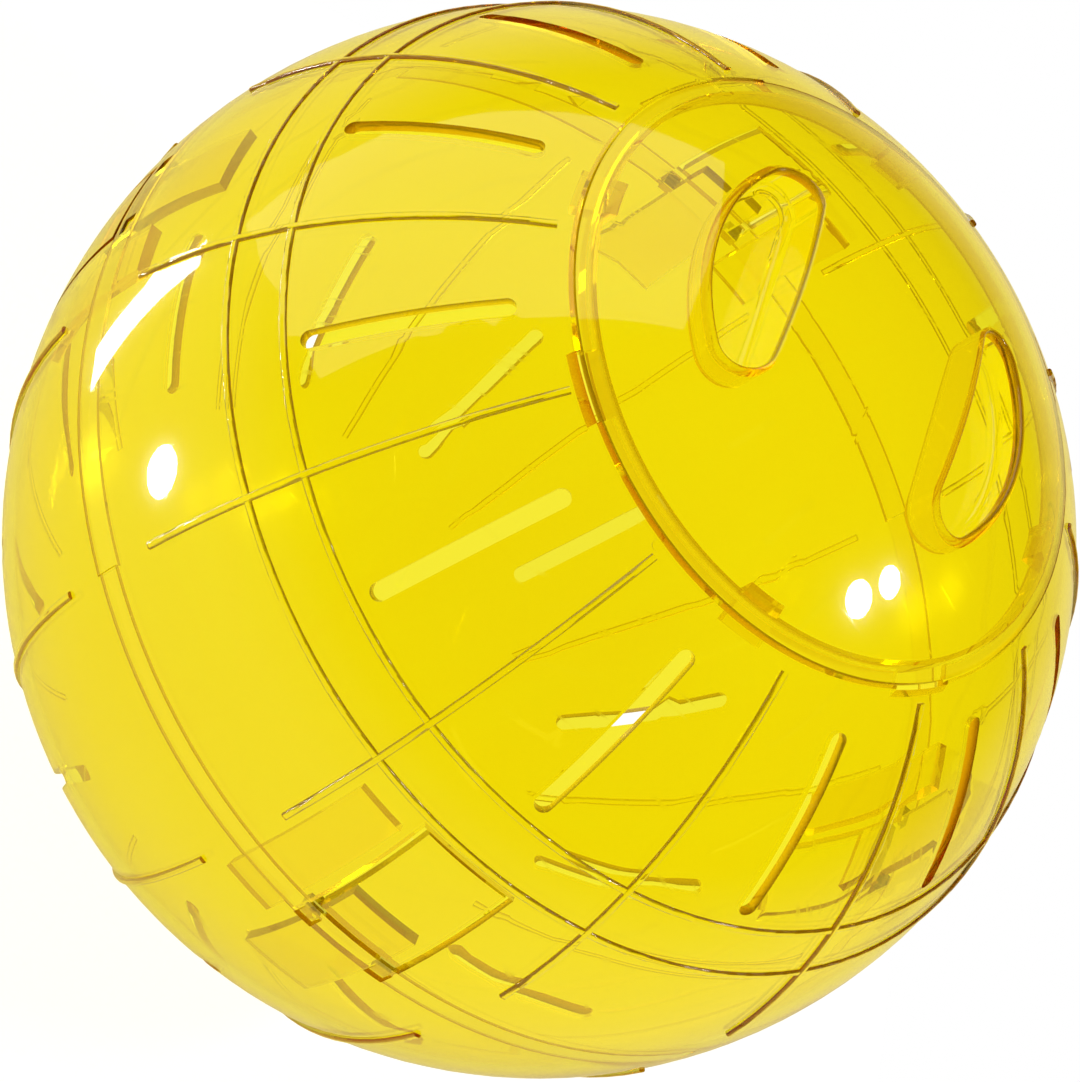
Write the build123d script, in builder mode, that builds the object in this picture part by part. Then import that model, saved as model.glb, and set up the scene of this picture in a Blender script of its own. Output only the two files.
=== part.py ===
# Hamster ball: two clear half shells that clip together at the equator, a twist-off lid in the upper half,
# and four press latches. Millimetres and degrees.
# Origin at the ball's centre, +Z through the lid, +X through one of the upper half's latches.
import os
from math import asin, cos, degrees, radians, sin, sqrt

from build123d import *

# Ball
ball_radius = 90.0
shell_wall = 2.0

# Seam: inner and outer lips change places every quarter turn
seam_lap = 2.5
lip_count = 4
lip_gap = 0.1

# Vent slots, raised ribs and raised rings, placed by distances along the surface
slot_count = 12
slot_width = 3.0
slot_neck_gap = 8.6
slot_ring_gap = 2.2
rib_width = 1.3
rib_height = 0.6
rib_round = 0.45
rib_neck_gap = 3.0
rib_seam_gap = 11.2
ring_width = 1.3
ring_height = 0.45
ring_round = 0.35
low_ring_height = 31.6
high_ring_height = 41.9

# Neck in the shell that takes the lid
rebate_depth = 1.0
neck_round = 0.35
index_dot_radius = 0.9
index_dot_height = 0.4
index_dot_edge = 1.6
index_dot_angle = -16.1

# Lid
lid_radius = 48.0
lid_wall = 2.0
skirt_wall = 1.1
skirt_height = 4.6
brim_width = 2.7
turn_gap = 0.3
seat_gap = 0.1
lug_count = 4
lug_width = 7.5
lug_wall = 2.0
lug_reach = 3.3
lug_root = 1.6
lug_ledge_gap = 0.2
lug_notch_gap = 2.05
notch_angle = 45.0
lid_rest_angle = 5.3

# Finger pockets in the lid
pocket_radius = 31.7
pocket_span = 13.9
pocket_length = 40.0
pocket_corner = 4.5
pocket_depth = 12.0
pocket_wall = 1.1
pocket_round = 0.6
pocket_floor_round = 1.3
pocket_count = 2

# Press latches: a tongue in one half whose leaf runs inside the other half
latch_width = 16.0
latch_slot = 1.3
latch_root_gap = 1.0
latch_slit = 0.5
latch_seam_gap = 1.2
thumb_width = 9.5
thumb_height = 3.4
thumb_depth = 1.4
leaf_width = 13.0
leaf_wall = 1.6
leaf_gap = 0.4
leaf_step = 6.0
leaf_reach = 22.0
catch_width = 2.4
catch_height = 2.0
catch_bar = 1.5
catch_gap = 0.4
catch_travel_gap = 0.8
catch_sink = 0.4

# Guide tabs that line the halves up beside the latches
guide_width = 9.4
guide_wall = 1.6
guide_gap = 0.4
guide_root = 6.0
guide_reach = 25.0
guide_catch_gap = 1.8

# Sizes that follow from the ones above
cut_margin = 1.0
corner_tolerance = 0.001
quarter_turn = 90.0
half_turn = 180.0
full_turn = 360.0
patch_arc = 40.0
shell_inside = ball_radius - shell_wall
lip_middle = ball_radius - shell_wall / 2
brim_radius = lid_radius + brim_width
neck_radius = brim_radius + turn_gap
ledge_outside = ball_radius - rebate_depth
ledge_radius = lid_radius + turn_gap
brim_inside = ledge_outside + seat_gap
skirt_inside = lid_radius - skirt_wall
skirt_bottom = sqrt(ball_radius**2 - lid_radius**2) - skirt_height
lug_outside = shell_inside - lug_ledge_gap
lug_radius = lid_radius + lug_reach
notch_radius = lug_radius + turn_gap
notch_width = lug_width + 2 * lug_notch_gap
leaf_outside = shell_inside - leaf_gap
leaf_inside = leaf_outside - leaf_wall
guide_outside = shell_inside - guide_gap
guide_inside = guide_outside - guide_wall
guide_middle = (leaf_width + guide_width) / 2 + catch_width + guide_catch_gap
guide_angle = degrees(asin(guide_middle / guide_outside))
pocket_floor = ball_radius - pocket_depth
rim_reach = (pocket_radius + skirt_inside) / 2
seam_edge = lip_gap - seam_lap
outer_edge = (sqrt(ball_radius**2 - seam_edge**2), seam_edge)
inner_edge = (sqrt(shell_inside**2 - seam_edge**2), seam_edge)
flip_axis = Axis((0, 0, 0), (1, 1, 0))


def along(length):
    # Angle that a length along the ball's surface takes up
    return degrees(length / ball_radius)


def from_seam(length):
    # Colatitude of a place this far above the equator
    return quarter_turn - along(length)


def at_reach(radius, reach):
    # Colatitude at which a sphere about the centre is this far from the axis
    return degrees(asin(reach / radius))


neck_edge = at_reach(ball_radius, neck_radius)
low_ring = from_seam(low_ring_height)
high_ring = from_seam(high_ring_height)
latch_root = low_ring + along(ring_width / 2 + latch_root_gap)
latch_end = from_seam(seam_lap + latch_seam_gap)
catch_top = from_seam(seam_lap - catch_bar - catch_gap)
catch_end = catch_top + along(catch_height)


def meridian(radius, colatitude):
    # Point in the meridian plane
    return (radius * sin(radians(colatitude)), radius * cos(radians(colatitude)))


def from_axis(point):
    # Distance of a point from the ball's axis
    return sqrt(point.X**2 + point.Y**2)


def is_at(point, radius, reach=None):
    # Whether a point lies on a sphere about the centre, and this far from the axis where that is given
    on_sphere = abs(sqrt(from_axis(point) ** 2 + point.Z**2) - radius) < corner_tolerance
    return on_sphere and (reach is None or abs(from_axis(point) - reach) < corner_tolerance)


def band(inside, outside, top, bottom):
    # Face in the meridian plane between two radii and two colatitudes
    middle = (top + bottom) / 2
    with BuildSketch(Plane.XZ) as face:
        with BuildLine():
            Line(meridian(inside, top), meridian(outside, top))
            ThreePointArc(meridian(outside, top), meridian(outside, middle), meridian(outside, bottom))
            Line(meridian(outside, bottom), meridian(inside, bottom))
            ThreePointArc(meridian(inside, bottom), meridian(inside, middle), meridian(inside, top))
        make_face()
    return face.sketch


def plate(face, start, end):
    # Meridian face thickened sideways from y = start to y = end
    with BuildPart() as slab:
        extrude(face, amount=end - start, dir=(0, 1, 0))
    return slab.part.moved(Location((0, start, 0)))


def turned(face, arc):
    # Meridian face swept about the ball's axis through an arc centred on +X
    with BuildPart() as ring:
        revolve(face, axis=Axis.Z, revolution_arc=arc)
    return ring.part.rotate(Axis.Z, -arc / 2)


def patch(face, start, end):
    # Piece of a round wall between the planes y = start and y = end
    with BuildPart() as piece:
        add(turned(face, patch_arc))
        with Locations((ball_radius, (start + end) / 2, 0)):
            Box(ball_radius, end - start, 2 * ball_radius, mode=Mode.INTERSECT)
    return piece.part


def block_face(inner, outer, bottom, top):
    # Rectangle in the meridian plane
    with BuildSketch(Plane.XZ) as face:
        with Locations(((inner + outer) / 2, (bottom + top) / 2)):
            Rectangle(outer - inner, top - bottom)
    return face.sketch


def closed_wall():
    # Lower half's wall, a plain dome
    with BuildPart() as dome:
        Sphere(ball_radius)
        Sphere(shell_inside, mode=Mode.SUBTRACT)
        split(bisect_by=Plane.XY.offset(seam_edge), keep=Keep.TOP)
    return dome.part


def arc_to(radius, start, end):
    # Arc in the meridian plane between two colatitudes
    return ThreePointArc(meridian(radius, start), meridian(radius, (start + end) / 2), meridian(radius, end))


def necked_wall():
    # Upper half's wall with its raised rings, and the rebate and ledge that the lid sits in
    rebate_edge = at_reach(ledge_outside, neck_radius)
    ledge_edge = at_reach(ledge_outside, ledge_radius)
    mouth_edge = at_reach(shell_inside, ledge_radius)
    half_ring = along(ring_width / 2)
    crest = ball_radius + ring_height
    with BuildSketch(Plane.XZ) as face:
        with BuildLine():
            start, angle = outer_edge, quarter_turn
            for ring in (low_ring, high_ring):
                below, above = ring + half_ring, ring - half_ring
                ThreePointArc(start, meridian(ball_radius, (angle + below) / 2), meridian(ball_radius, below))
                Line(meridian(ball_radius, below), meridian(crest, below))
                arc_to(crest, below, above)
                Line(meridian(crest, above), meridian(ball_radius, above))
                start, angle = meridian(ball_radius, above), above
            arc_to(ball_radius, angle, neck_edge)
            Line(meridian(ball_radius, neck_edge), meridian(ledge_outside, rebate_edge))
            arc_to(ledge_outside, rebate_edge, ledge_edge)
            Line(meridian(ledge_outside, ledge_edge), meridian(shell_inside, mouth_edge))
            middle = meridian(shell_inside, (quarter_turn + mouth_edge) / 2)
            ThreePointArc(meridian(shell_inside, mouth_edge), middle, inner_edge)
            Line(inner_edge, outer_edge)
        make_face()
        fillet([v for v in face.vertices() if is_at(v, crest)], ring_round)
        fillet([v for v in face.vertices() if is_at(v, ball_radius, neck_radius)], neck_round)
    return turned(face.sketch, full_turn)


def vent_slot():
    # Cutter for one slot with round ends
    end_radius = slot_width / 2
    top = neck_edge + along(slot_neck_gap + end_radius)
    bottom = high_ring - along(ring_width / 2 + slot_ring_gap + end_radius)
    ends = [Plane(origin=(x, 0, z), x_dir=(0, 1, 0), z_dir=(x, 0, z))
            for x, z in (meridian(ball_radius, top), meridian(ball_radius, bottom))]
    depth = shell_wall + cut_margin
    with BuildPart() as slot:
        face = band(ball_radius - depth, ball_radius + cut_margin, top, bottom)
        extrude(face, amount=end_radius, both=True)
        with Locations(*ends):
            Cylinder(end_radius, 2 * depth)
    return slot.part


def surface_rib():
    # Raised rib along a meridian
    top = neck_edge + along(rib_neck_gap)
    bottom = from_seam(rib_seam_gap)
    crest = ball_radius + rib_height
    with BuildPart() as rib:
        add(plate(band(lip_middle, crest, top, bottom), -rib_width / 2, rib_width / 2))
        crest_edges = rib.edges().filter_by(GeomType.CIRCLE).sort_by(SortBy.RADIUS)[-2:]
        fillet(crest_edges, rib_round)
    return rib.part


def lip_cut(inner, outer):
    # Cutter that thins the seam edge to a lip for a quarter turn
    arc = full_turn / lip_count + 2 * along(lip_gap)
    return turned(block_face(inner, outer, -seam_lap - cut_margin, seam_lap), arc)


def guide_tab():
    # Tab on the inside of one half that reaches into the other half
    arc = degrees(guide_width / guide_outside)
    top = from_seam(seam_lap + guide_root)
    with BuildPart() as tab:
        add(turned(band(guide_inside, guide_outside, top, from_seam(-guide_reach)), arc))
        add(turned(band(guide_inside, lip_middle, top, from_seam(seam_lap + 2 * lip_gap)), arc))
    return tab.part


def index_dot():
    # Small round mark beside the neck that shows where the lid locks
    x, z = meridian(ball_radius, neck_edge + along(index_dot_edge))
    with BuildPart() as dot:
        with Locations(Plane(origin=(x, 0, z), z_dir=(x, 0, z))):
            Cylinder(index_dot_radius, 2 * index_dot_height)
    return dot.part


def lid_notch():
    # Cutter for the gap in the neck that a lug of the lid drops through
    bottom = meridian(shell_inside, neck_edge)[1] - 2 * cut_margin
    face = block_face(ledge_radius - cut_margin, notch_radius, bottom, ball_radius)
    return turned(face, degrees(notch_width / notch_radius))


def latch_window():
    # Cutter for the gap round a latch tongue
    half = latch_width / 2 + latch_slot
    bottom = from_seam(-seam_lap - cut_margin)
    return plate(band(shell_inside - cut_margin, ball_radius + cut_margin, latch_root, bottom), -half, half)


def catch_window():
    # Cutter for the hole that one catch of the other half's latch sits in
    top = from_seam(catch_height + catch_gap + catch_bar + catch_travel_gap - seam_lap)
    bottom = from_seam(catch_bar - seam_lap)
    near = leaf_width / 2 - 2 * catch_gap
    far = leaf_width / 2 + catch_width + catch_gap
    return plate(band(shell_inside - cut_margin, ball_radius + cut_margin, top, bottom), near, far)


def half_shell(wall):
    # One half in the upper place: vented dome with lips, guide tabs and openings for the latches
    outer_cut = lip_cut(lip_middle - lip_gap / 2, ball_radius + cut_margin)
    inner_cut = lip_cut(shell_inside - guide_gap / 2, lip_middle + lip_gap / 2)
    catch_hole = catch_window()
    with BuildPart() as shell:
        # The wall's own seam lies between a slot and a rib
        add(wall, rotation=(0, 0, quarter_turn / slot_count))
        with PolarLocations(0, lip_count // 2, start_angle=quarter_turn + guide_angle):
            add(guide_tab())
        with PolarLocations(0, lip_count // 2):
            add(outer_cut, mode=Mode.SUBTRACT)
        with PolarLocations(0, lip_count // 2, start_angle=quarter_turn):
            add(inner_cut, mode=Mode.SUBTRACT)
        with PolarLocations(0, slot_count, start_angle=half_turn / slot_count):
            add(surface_rib())
        with PolarLocations(0, slot_count):
            add(vent_slot(), mode=Mode.SUBTRACT)
        with PolarLocations(0, lip_count // 2):
            add(latch_window(), mode=Mode.SUBTRACT)
        with PolarLocations(0, lip_count // 2, start_angle=quarter_turn):
            add(catch_hole, mode=Mode.SUBTRACT)
            add(catch_hole.mirror(Plane.XZ), mode=Mode.SUBTRACT)
    return shell.part


def necked_half():
    # Upper half with the notches that let the lid's lugs in
    with BuildPart() as half:
        add(half_shell(necked_wall()))
        add(index_dot(), rotation=(0, 0, index_dot_angle))
        with PolarLocations(0, lug_count, start_angle=notch_angle):
            add(lid_notch(), mode=Mode.SUBTRACT)
    return half.part


def lid_profile():
    # Dome whose brim lies on the ledge, flush with the ball, and a skirt that reaches down through the mouth
    dome_inside = ball_radius - lid_wall
    edge = at_reach(ball_radius, brim_radius)
    brim_edge = at_reach(brim_inside, brim_radius)
    brim_root = at_reach(brim_inside, lid_radius)
    dome_edge = at_reach(dome_inside, skirt_inside)
    with BuildSketch(Plane.XZ) as face:
        with BuildLine():
            arc_to(ball_radius, 0, edge)
            Line(meridian(ball_radius, edge), meridian(brim_inside, brim_edge))
            arc_to(brim_inside, brim_edge, brim_root)
            Polyline(
                meridian(brim_inside, brim_root),
                (lid_radius, skirt_bottom),
                (skirt_inside, skirt_bottom),
                meridian(dome_inside, dome_edge),
            )
            arc_to(dome_inside, dome_edge, 0)
            Line((0, dome_inside), (0, ball_radius))
        make_face()
        fillet([v for v in face.vertices() if is_at(v, ball_radius, brim_radius)], neck_round)
    return face.sketch


def lid_lug():
    # Bayonet lug that hooks under the ledge, with a root block that stiffens the skirt behind it
    root_inside = skirt_inside - lug_root
    root_outside = lid_radius - skirt_wall / 2
    hook_root = at_reach(lug_outside, root_outside)
    hook_edge = at_reach(lug_outside, lug_radius)
    arc = degrees(lug_width / lug_radius)
    with BuildSketch(Plane.XZ) as root:
        Circle(ball_radius - lid_wall / 2)
        with Locations(((root_inside + root_outside) / 2, (skirt_bottom + ball_radius) / 2)):
            Rectangle(root_outside - root_inside, ball_radius - skirt_bottom, mode=Mode.INTERSECT)
    with BuildPart() as lug:
        add(turned(band(lug_outside - lug_wall, lug_outside, hook_root, hook_edge), arc))
        add(turned(root.sketch, arc))
    return lug.part


def pocket_outline(wall, height):
    # D-shaped outline of a finger pocket, or of its outside where a wall is given
    inset = pocket_radius - pocket_span + pocket_corner
    radius = pocket_radius - pocket_corner
    with BuildSketch(Plane.XY.offset(height)) as outline:
        Circle(radius)
        with Locations(((inset + pocket_radius) / 2, 0)):
            Rectangle(pocket_radius - inset, pocket_length - 2 * pocket_corner, mode=Mode.INTERSECT)
        offset(amount=pocket_corner + wall, kind=Kind.ARC)
    return outline.sketch


def pocket_cup():
    # Outside of a finger pocket with a rounded bottom, cut off at the dome's surface
    with BuildPart() as cup:
        extrude(pocket_outline(pocket_wall, pocket_floor - pocket_wall), amount=pocket_depth + pocket_wall)
        fillet(cup.edges().group_by(Axis.Z)[0], pocket_floor_round + pocket_wall)
        Sphere(ball_radius, mode=Mode.INTERSECT)
    return cup.part


def pocket_hollow():
    # Inside of a finger pocket, with a rounded floor
    with BuildPart() as hollow:
        extrude(pocket_outline(0, pocket_floor), amount=pocket_depth + cut_margin)
        fillet(hollow.edges().group_by(Axis.Z)[0], pocket_floor_round)
    return hollow.part


def bayonet_lid():
    # Lid turned to its locked position
    with BuildPart() as lid:
        revolve(lid_profile(), axis=Axis.Z)
        with PolarLocations(0, lug_count):
            add(lid_lug())
        with PolarLocations(0, pocket_count, start_angle=quarter_turn):
            add(pocket_cup())
        with PolarLocations(0, pocket_count, start_angle=quarter_turn):
            add(pocket_hollow(), mode=Mode.SUBTRACT)
        rims = [e for e in lid.edges() if is_at(e @ 0, ball_radius) and from_axis(e @ 0) < rim_reach]
        fillet(rims, pocket_round)
    return lid.part.rotate(Axis.Z, lid_rest_angle)


def press_latch():
    # Tongue on +X with a thumb notch at its end, a stepped-in leaf and two catches
    half = latch_width / 2
    leaf_half = leaf_width / 2
    catch_face = band(leaf_inside, ball_radius - catch_sink, catch_top, catch_end)
    catch = patch(catch_face, leaf_half - catch_gap, leaf_half + catch_width)
    leaf_top = latch_end - along(leaf_step)
    thumb_top = latch_end - along(thumb_height)
    thumb_floor = ball_radius - thumb_depth
    thumb = band(thumb_floor, ball_radius + cut_margin, thumb_top, latch_end + along(cut_margin))
    with BuildPart() as latch:
        add(patch(band(shell_inside, ball_radius, latch_root + along(latch_slit), latch_end), -half, half))
        add(patch(band(leaf_inside, lip_middle, leaf_top, latch_end), -leaf_half, leaf_half))
        add(patch(band(leaf_inside, leaf_outside, leaf_top, from_seam(-leaf_reach)), -leaf_half, leaf_half))
        add(catch)
        add(catch.mirror(Plane.XZ))
        add(plate(thumb, -thumb_width / 2, thumb_width / 2), mode=Mode.SUBTRACT)
    return latch.part


upper_latch = press_latch()
pieces = {
    "upper_half_shell": necked_half(),
    "lower_half_shell": half_shell(closed_wall()).rotate(flip_axis, half_turn),
    "lid": bayonet_lid(),
    "upper_latch_front": upper_latch,
    "upper_latch_rear": upper_latch.rotate(Axis.Z, half_turn),
    "lower_latch_right": upper_latch.rotate(flip_axis, half_turn),
    "lower_latch_left": upper_latch.rotate(flip_axis, half_turn).rotate(Axis.Z, half_turn),
}

os.makedirs("parts", exist_ok=True)
for name, piece in pieces.items():
    piece.label = name
    export_step(piece, f"parts/{name}.step")
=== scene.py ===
import bmesh
import bpy
from mathutils import Matrix, Vector


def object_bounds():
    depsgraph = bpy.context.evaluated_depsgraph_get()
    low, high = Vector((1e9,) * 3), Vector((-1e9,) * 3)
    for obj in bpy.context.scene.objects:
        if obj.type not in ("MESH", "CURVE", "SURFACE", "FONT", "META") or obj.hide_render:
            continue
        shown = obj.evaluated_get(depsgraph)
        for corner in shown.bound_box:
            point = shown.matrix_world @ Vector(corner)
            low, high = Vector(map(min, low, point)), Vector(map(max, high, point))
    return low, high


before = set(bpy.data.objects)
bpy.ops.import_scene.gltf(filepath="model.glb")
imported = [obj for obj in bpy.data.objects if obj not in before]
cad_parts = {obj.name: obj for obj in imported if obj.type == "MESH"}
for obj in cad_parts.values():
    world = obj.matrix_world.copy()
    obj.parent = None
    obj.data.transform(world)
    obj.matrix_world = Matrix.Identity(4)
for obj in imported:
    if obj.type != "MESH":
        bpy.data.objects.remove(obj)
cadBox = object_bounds()
scene = bpy.context.scene
scene.view_settings.view_transform = "Standard"
print("frame loaded with", len(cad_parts), "pieces")


def newNode(tree, kind, **values):
    node = tree.nodes.new(kind)
    for key, value in values.items():
        if key in node.inputs:
            node.inputs[key].default_value = value
        else:
            setattr(node, key, value)
    return node


def newMath(tree, operation, second=None):
    node = newNode(tree, "ShaderNodeMath", operation=operation)
    if second is not None:
        node.inputs[1].default_value = second
    return node


def newColourMix(tree, first=None, second=None):
    node = newNode(tree, "ShaderNodeMix", data_type="RGBA")
    for place, colour in ((6, first), (7, second)):  # the colour sockets of a Mix node
        if colour is not None:
            node.inputs[place].default_value = colour
    return node


def newRamp(tree, start=None, end=None, interpolation="SMOOTHSTEP"):
    node = newNode(tree, "ShaderNodeMapRange", interpolation_type=interpolation)
    for label, value in (("From Min", start), ("From Max", end)):
        if value is not None:
            node.inputs[label].default_value = value
    return node


# Camera
shot = {
    "right": Vector((-0.3368, 0.7152, 0.6125)),
    "up": Vector((-0.6982, -0.6262, 0.3470)),
    "back": Vector((0.6317, -0.3108, 0.7102)),
    "distance": 0.72,
    "lens": 141.94,
    "sensor": 36.0,
    "shift": (0.0009, 0.0005),
    "clipStart": 0.01,
}


def setCamera():
    cameraData = bpy.data.cameras.new("photoCamera")
    cameraData.lens = shot["lens"]
    cameraData.sensor_width = shot["sensor"]
    cameraData.shift_x, cameraData.shift_y = shot["shift"]
    cameraData.clip_start = shot["clipStart"]
    camera = bpy.data.objects.new("photoCamera", cameraData)
    scene.collection.objects.link(camera)
    turn = Matrix((shot["right"], shot["up"], shot["back"])).transposed().to_4x4()
    camera.matrix_world = Matrix.Translation(shot["back"] * shot["distance"]) @ turn
    scene.camera = camera


def fromCamera(x, y, z):
    return shot["right"] * x + shot["up"] * y + shot["back"] * z


# Surroundings, by the height of a direction: one set for the gloss, one for light that comes through the ball
sky = {
    "seen": (1, 1, 1, 1),
    "reflected": {"from": -0.4, "to": 0.1, "low": (0.80, 0.70, 0.34, 1), "high": (0.05, 0.045, 0.015, 1)},
    "through": {"from": -0.1, "to": 0.6, "low": (0.97, 0.97, 0.97, 1), "high": (0.70, 0.55, 0.38, 1)},
    "frontDepth": 2.5,
}


def setWorld():
    world = bpy.data.worlds.new("studio")
    scene.world = world
    world.use_nodes = True
    tree = world.node_tree
    tree.nodes.clear()
    link = tree.links.new
    coords = newNode(tree, "ShaderNodeTexCoord")
    split = newNode(tree, "ShaderNodeSeparateXYZ")
    link(coords.outputs["Generated"], split.inputs[0])
    blends = []
    for shade in (sky["reflected"], sky["through"]):
        height = newRamp(tree, shade["from"], shade["to"])
        blend = newColourMix(tree, shade["low"], shade["high"])
        link(split.outputs["Z"], height.inputs["Value"])
        link(height.outputs["Result"], blend.inputs["Factor"])
        blends.append(blend)
    path = newNode(tree, "ShaderNodeLightPath")
    inside = newMath(tree, "GREATER_THAN", sky["frontDepth"])  # mirrored inside the wall, not off the front
    either = newMath(tree, "MAXIMUM")
    lit = newColourMix(tree)
    seen = newColourMix(tree, second=sky["seen"])
    background = newNode(tree, "ShaderNodeBackground", Strength=1.0)
    output = newNode(tree, "ShaderNodeOutputWorld")
    link(path.outputs["Ray Depth"], inside.inputs[0])
    link(inside.outputs[0], either.inputs[0])
    link(path.outputs["Is Transmission Ray"], either.inputs[1])
    link(either.outputs[0], lit.inputs["Factor"])
    link(blends[0].outputs[2], lit.inputs[6])
    link(blends[1].outputs[2], lit.inputs[7])
    link(path.outputs["Is Camera Ray"], seen.inputs["Factor"])
    link(lit.outputs[2], seen.inputs[6])
    link(seen.outputs[2], background.inputs["Color"])
    link(background.outputs[0], output.inputs["Surface"])


# Floor
paleFloor = {
    "radius": 0.16,
    "sides": 128,
    "gap": 0.0004,
    "seen": (0.94, 0.94, 0.94, 1),
    # painted light: the floor glows dim yellow in reflections, standing in for light coming through the ball
    "reflected": (0.40, 0.34, 0.13, 1),
    "colour": (0.28, 0.28, 0.28, 1),
}


def setFloor():
    bm = bmesh.new()
    bmesh.ops.create_circle(bm, cap_ends=True, radius=paleFloor["radius"], segments=paleFloor["sides"])
    bmesh.ops.translate(bm, vec=(0, 0, cadBox[0].z - paleFloor["gap"]), verts=bm.verts)
    mesh = bpy.data.meshes.new("floor")
    bm.to_mesh(mesh)
    bm.free()
    floor = bpy.data.objects.new("floor", mesh)
    scene.collection.objects.link(floor)
    floor.visible_transmission = False  # light bent through the ball meets the pale surroundings instead
    material = bpy.data.materials.new("paleFloor")
    material.use_nodes = True
    tree = material.node_tree
    tree.nodes.clear()
    link = tree.links.new
    path = newNode(tree, "ShaderNodeLightPath")
    # painted light in the floor's glow: dim yellow for reflections, pale for the camera
    shade = newColourMix(tree, paleFloor["reflected"], paleFloor["seen"])
    seen = newMath(tree, "MAXIMUM")
    glow = newNode(tree, "ShaderNodeEmission")
    diffuse = newNode(tree, "ShaderNodeBsdfDiffuse", Color=paleFloor["colour"])
    both = newNode(tree, "ShaderNodeAddShader")
    side = newNode(tree, "ShaderNodeNewGeometry")
    fromBelow = newNode(tree, "ShaderNodeBsdfTransparent")
    sheet = newNode(tree, "ShaderNodeMixShader")  # clear from below, so that the underside of the ball shows
    output = newNode(tree, "ShaderNodeOutputMaterial")
    link(path.outputs["Is Camera Ray"], shade.inputs["Factor"])
    link(shade.outputs[2], glow.inputs["Color"])
    link(path.outputs["Is Glossy Ray"], seen.inputs[0])
    link(path.outputs["Is Camera Ray"], seen.inputs[1])
    link(seen.outputs[0], glow.inputs["Strength"])
    link(glow.outputs[0], both.inputs[0])
    link(diffuse.outputs[0], both.inputs[1])
    link(side.outputs["Backfacing"], sheet.inputs[0])
    link(both.outputs[0], sheet.inputs[1])
    link(fromBelow.outputs[0], sheet.inputs[2])
    link(sheet.outputs[0], output.inputs["Surface"])
    mesh.materials.append(material)


# Lamps, by the direction that they stand in and the run of their width, both as the camera sees them
lampDistance = 0.8
lamps = {
    "windowLamp": {"toward": (-0.15, 0.93, 0.33), "width": (1, 0, 0), "size": (1.2, 0.8), "power": 2.6},
    "stripLamp": {"toward": (-0.83, 0.45, -0.33), "width": (-0.53, -0.36, 0.77), "size": (0.09, 0.42),
                  "power": 1.8},
    "roundLamp": {"toward": (-0.97, 0.18, 0.14), "width": (0, 1, 0), "size": (0.115, 0.115), "power": 1.6},
    "lidLampA": {"toward": (0.903, -0.166, 0.397), "width": (0, 1, 0), "size": (0.09, 0.09), "power": 1.0},
    "lidLampB": {"toward": (0.953, -0.113, 0.281), "width": (0, 1, 0), "size": (0.075, 0.075), "power": 0.7},
}


def addLamp(name, lamp):
    lampData = bpy.data.lights.new(name, "AREA")
    lampData.shape = "DISK" if lamp["size"][0] == lamp["size"][1] else "RECTANGLE"
    lampData.size, lampData.size_y = lamp["size"]
    lampData.energy = lamp["power"]
    lampObject = bpy.data.objects.new(name, lampData)
    scene.collection.objects.link(lampObject)
    outward = fromCamera(*lamp["toward"]).normalized()
    along = outward.cross(fromCamera(*lamp["width"])).normalized()
    turn = Matrix((along.cross(outward), along, outward)).transposed().to_4x4()
    lampObject.matrix_world = Matrix.Translation(outward * lampDistance) @ turn
    lampObject.visible_camera = False
    lampObject.visible_transmission = False  # seen as a gloss on the outside only


# Surface detail that all the clear plastic shares, with painted shade on upright walls and on the lid's skirt
moulded = {
    "inputs": ("Ripple Scale", "Flow Scale", "Scratch Scale", "Scratches", "Edge Shade Depth", "Edge Reach",
               "Skirt Shade Depth", "Skirt Reach"),
    "flowTints": ((1.0, 0.955, 0.85, 1), (1.0, 0.920, 0.75, 1)),
    "scratchTurns": ((0.4, 0.9, 0.2), (1.3, 0.2, 1.1)),
    "scratchStretch": (40.0, 1.0, 6.0),
    "scratchLine": (0.74, 0.80),
    "scratchRoughness": 0.12,
    "edgeLean": (0.985, 0.80),
    "edgeFade": 0.0014,
    # painted shade: dark brown tint on upright walls near the outside
    "edgeShadeTint": (0.13, 0.055, 0.008, 1),
    "edgeRoughness": 0.1,
    "skirtFade": 0.001,
    # painted shade: orange-brown tint on the lid's skirt walls
    "skirtShadeTint": (0.66, 0.40, 0.12, 1),
}


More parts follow.
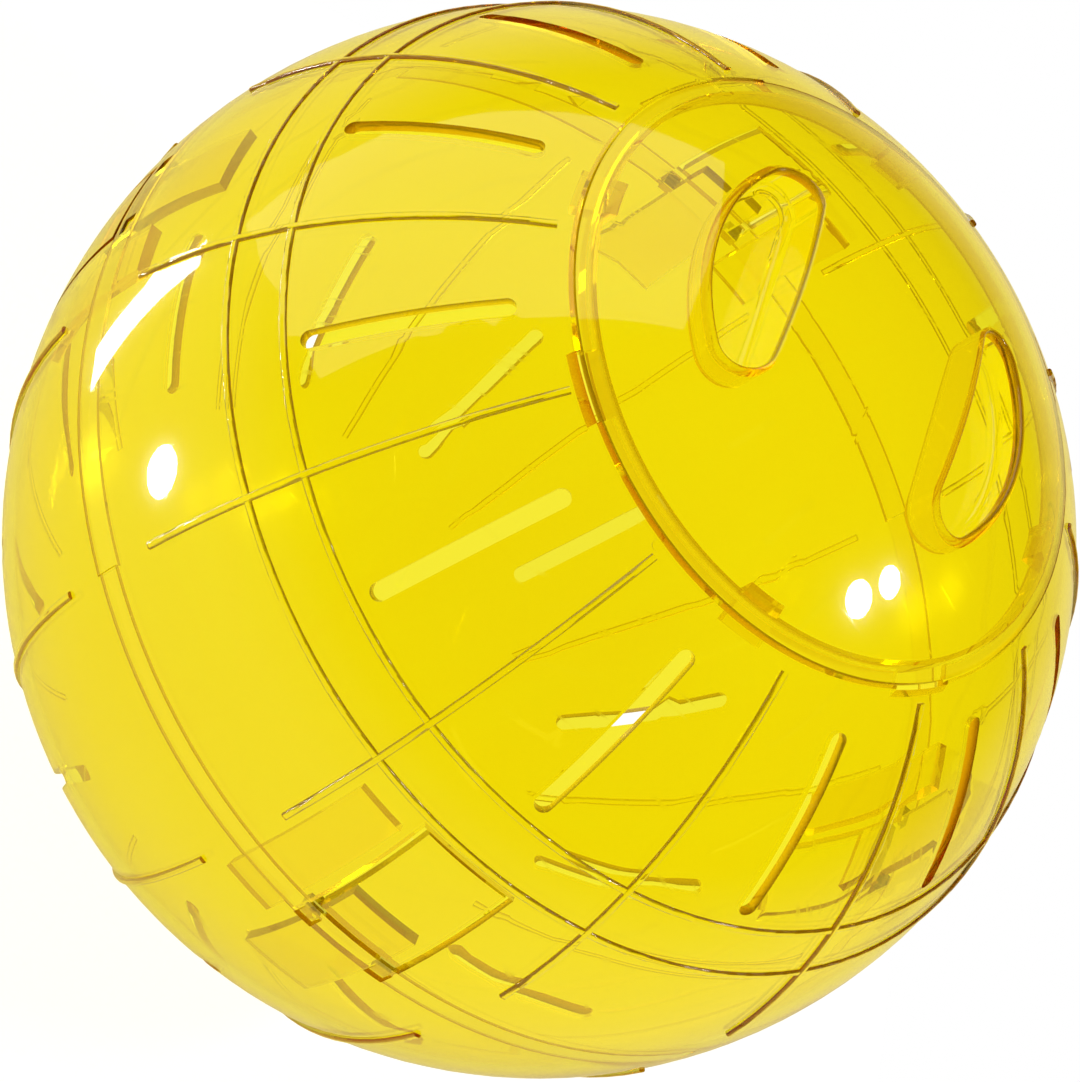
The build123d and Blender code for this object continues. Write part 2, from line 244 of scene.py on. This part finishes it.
def mouldedSurfaceAndShade():
    group = bpy.data.node_groups.new("mouldedSurfaceAndShade", "ShaderNodeTree")
    for label in moulded["inputs"]:
        group.interface.new_socket(label, in_out="INPUT", socket_type="NodeSocketFloat")
    group.interface.new_socket("Tint", in_out="OUTPUT", socket_type="NodeSocketColor")
    group.interface.new_socket("Roughness", in_out="OUTPUT", socket_type="NodeSocketFloat")
    group.interface.new_socket("Height", in_out="OUTPUT", socket_type="NodeSocketFloat")
    given = newNode(group, "NodeGroupInput")
    result = newNode(group, "NodeGroupOutput")
    coords = newNode(group, "ShaderNodeTexCoord")
    link = group.links.new

    # Slow waves left by the mould
    ripple = newNode(group, "ShaderNodeTexNoise", Detail=0.0)
    link(coords.outputs["Object"], ripple.inputs["Vector"])
    link(given.outputs["Ripple Scale"], ripple.inputs["Scale"])
    link(ripple.outputs["Fac"], result.inputs["Height"])

    # Flow streaks run along the meridians, away from the pole
    split = newNode(group, "ShaderNodeSeparateXYZ")
    level = newNode(group, "ShaderNodeCombineXYZ")
    around = newNode(group, "ShaderNodeVectorMath", operation="NORMALIZE")
    flow = newNode(group, "ShaderNodeTexNoise", Detail=2.0)
    tint = newColourMix(group, *moulded["flowTints"])
    link(coords.outputs["Object"], split.inputs[0])
    link(split.outputs["X"], level.inputs["X"])
    link(split.outputs["Y"], level.inputs["Y"])
    link(level.outputs[0], around.inputs[0])
    link(around.outputs[0], flow.inputs["Vector"])
    link(given.outputs["Flow Scale"], flow.inputs["Scale"])
    link(flow.outputs["Fac"], tint.inputs["Factor"])

    # Fine scratches in two directions
    worn = newMath(group, "MAXIMUM")
    amount = newMath(group, "MULTIPLY")
    rough = newMath(group, "MULTIPLY", moulded["scratchRoughness"])
    for turn, place in zip(moulded["scratchTurns"], worn.inputs):
        stretch = newNode(group, "ShaderNodeMapping", Rotation=turn, Scale=moulded["scratchStretch"])
        scratch = newNode(group, "ShaderNodeTexNoise", Detail=0.0)
        line = newRamp(group, *moulded["scratchLine"], interpolation="LINEAR")
        link(coords.outputs["Object"], stretch.inputs["Vector"])
        link(stretch.outputs[0], scratch.inputs["Vector"])
        link(given.outputs["Scratch Scale"], scratch.inputs["Scale"])
        link(scratch.outputs["Fac"], line.inputs["Value"])
        link(line.outputs["Result"], place)
    link(worn.outputs[0], amount.inputs[0])
    link(given.outputs["Scratches"], amount.inputs[1])
    link(amount.outputs[0], rough.inputs[0])

    # Walls that stand across the shell
    outward = newNode(group, "ShaderNodeVectorMath", operation="NORMALIZE")
    facing = newNode(group, "ShaderNodeVectorMath", operation="DOT_PRODUCT")
    upright = newMath(group, "ABSOLUTE")
    across = newRamp(group, *moulded["edgeLean"])
    link(coords.outputs["Object"], outward.inputs[0])
    link(outward.outputs["Vector"], facing.inputs[0])
    link(coords.outputs["Normal"], facing.inputs[1])
    link(facing.outputs["Value"], upright.inputs[0])
    link(upright.outputs[0], across.inputs["Value"])

    def wallMask(distance, reachLabel, depthLabel, fadeWidth):
        fade = newMath(group, "ADD", fadeWidth)
        beyond = newRamp(group)
        wall = newMath(group, "MULTIPLY")
        depth = newMath(group, "MULTIPLY")
        link(given.outputs[reachLabel], fade.inputs[0])
        link(given.outputs[reachLabel], beyond.inputs["From Min"])
        link(fade.outputs[0], beyond.inputs["From Max"])
        link(distance.outputs["Value"], beyond.inputs["Value"])
        link(beyond.outputs["Result"], wall.inputs[0])
        link(across.outputs["Result"], wall.inputs[1])
        link(wall.outputs[0], depth.inputs[0])
        link(given.outputs[depthLabel], depth.inputs[1])
        return depth

    # Painted shade: upright walls near the outside get a dark brown tint and the lid's skirt walls an
    # orange-brown one, standing in for the darker look of walls seen edge-on
    fromPole = newNode(group, "ShaderNodeVectorMath", operation="LENGTH")
    fromCentre = newNode(group, "ShaderNodeVectorMath", operation="LENGTH")
    link(level.outputs[0], fromPole.inputs[0])
    link(coords.outputs["Object"], fromCentre.inputs[0])
    skirt = wallMask(fromPole, "Skirt Reach", "Skirt Shade Depth", moulded["skirtFade"])
    edge = wallMask(fromCentre, "Edge Reach", "Edge Shade Depth", moulded["edgeFade"])
    # painted shade on the skirt and on the upright walls, mixed into the plastic's tint
    skirtShadeMix = newColourMix(group, second=moulded["skirtShadeTint"])
    edgeShadeMix = newColourMix(group, second=moulded["edgeShadeTint"])
    link(skirt.outputs[0], skirtShadeMix.inputs["Factor"])
    link(tint.outputs[2], skirtShadeMix.inputs[6])
    link(edge.outputs[0], edgeShadeMix.inputs["Factor"])
    link(skirtShadeMix.outputs[2], edgeShadeMix.inputs[6])
    link(edgeShadeMix.outputs[2], result.inputs["Tint"])

    # Edges are a little duller
    dull = newMath(group, "MULTIPLY_ADD", moulded["edgeRoughness"])
    link(edge.outputs[0], dull.inputs[0])
    link(rough.outputs[0], dull.inputs[2])
    link(dull.outputs[0], result.inputs["Roughness"])
    return group


# Clear plastic, tinted in the mass
dye = {
    "colour": (0.9947, 0.9813, 0.0, 1),
    "density": 1500.0,
    "index": 1.53,
    "hazeRoughness": 0.14,
    "releaseDepth": 4.5,
}
# the edge and skirt depths set how strong the painted shade is on each piece
upperShell = {
    "Ripple Scale": 45.0, "Flow Scale": 6.0, "Scratch Scale": 30.0, "Scratches": 0.6,
    "Edge Shade Depth": 0.9, "Edge Reach": 0.0884, "Skirt Shade Depth": 0.0, "Skirt Reach": 0.04,
    "wave": 0.00006, "haze": 0.15,
}
lowerShell = {
    "Ripple Scale": 45.0, "Flow Scale": 7.0, "Scratch Scale": 30.0, "Scratches": 0.6,
    "Edge Shade Depth": 0.5, "Edge Reach": 0.0884, "Skirt Shade Depth": 0.0, "Skirt Reach": 0.04,
    "wave": 0.00006, "haze": 0.15,
}
twistLid = {
    "Ripple Scale": 60.0, "Flow Scale": 5.0, "Scratch Scale": 36.0, "Scratches": 0.8,
    "Edge Shade Depth": 0.85, "Edge Reach": 0.0884, "Skirt Shade Depth": 0.4, "Skirt Reach": 0.039,
    "wave": 0.00004, "haze": 0.15,
}
pressLatch = {
    "Ripple Scale": 80.0, "Flow Scale": 8.0, "Scratch Scale": 40.0, "Scratches": 0.7,
    "Edge Shade Depth": 0.7, "Edge Reach": 0.085, "Skirt Shade Depth": 0.0, "Skirt Reach": 0.04,
    "wave": 0.00003, "haze": 0.15,
}


def clearPlastic(name, surface, finish):
    material = bpy.data.materials.new(name)
    material.use_nodes = True
    tree = material.node_tree
    tree.nodes.clear()
    link = tree.links.new
    detail = newNode(tree, "ShaderNodeGroup", node_tree=surface)
    for label in moulded["inputs"]:
        detail.inputs[label].default_value = finish[label]
    bump = newNode(tree, "ShaderNodeBump", Strength=1.0, Distance=finish["wave"])
    glass = newNode(tree, "ShaderNodeBsdfPrincipled", IOR=dye["index"])
    glass.inputs["Transmission Weight"].default_value = 1
    glass.inputs["Coat Weight"].default_value = finish["haze"]
    glass.inputs["Coat Roughness"].default_value = dye["hazeRoughness"]
    mass = newNode(tree, "ShaderNodeVolumeAbsorption", Color=dye["colour"], Density=dye["density"])
    path = newNode(tree, "ShaderNodeLightPath")
    late = newMath(tree, "GREATER_THAN", dye["releaseDepth"])  # light trapped in the wall gets out at last
    letThrough = newNode(tree, "ShaderNodeBsdfTransparent")
    release = newNode(tree, "ShaderNodeMixShader")
    unshaded = newNode(tree, "ShaderNodeMixShader")  # lamps shine through the plastic
    output = newNode(tree, "ShaderNodeOutputMaterial")
    link(detail.outputs["Tint"], glass.inputs["Base Color"])
    link(detail.outputs["Roughness"], glass.inputs["Roughness"])
    link(detail.outputs["Height"], bump.inputs["Height"])
    link(bump.outputs["Normal"], glass.inputs["Normal"])
    link(path.outputs["Ray Depth"], late.inputs[0])
    link(late.outputs[0], release.inputs[0])
    link(glass.outputs[0], release.inputs[1])
    link(letThrough.outputs[0], release.inputs[2])
    link(path.outputs["Is Shadow Ray"], unshaded.inputs[0])
    link(release.outputs[0], unshaded.inputs[1])
    link(letThrough.outputs[0], unshaded.inputs[2])
    link(unshaded.outputs[0], output.inputs["Surface"])
    link(mass.outputs[0], output.inputs["Volume"])
    return material


setCamera()
print("camera set at", shot["distance"], "m")
setWorld()
setFloor()
print("surroundings and floor made")
for name, lamp in lamps.items():
    addLamp(name, lamp)
print("lamps placed:", len(lamps))

surface = mouldedSurfaceAndShade()
latchClear = clearPlastic("clearLatch", surface, pressLatch)
plastics = {
    "upper_half_shell": clearPlastic("clearUpperShell", surface, upperShell),
    "lower_half_shell": clearPlastic("clearLowerShell", surface, lowerShell),
    "lid": clearPlastic("clearLid", surface, twistLid),
}
for name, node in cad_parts.items():
    node.data.materials.clear()
    node.data.materials.append(plastics.get(name, latchClear))
print("plastics on", len(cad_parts), "pieces")
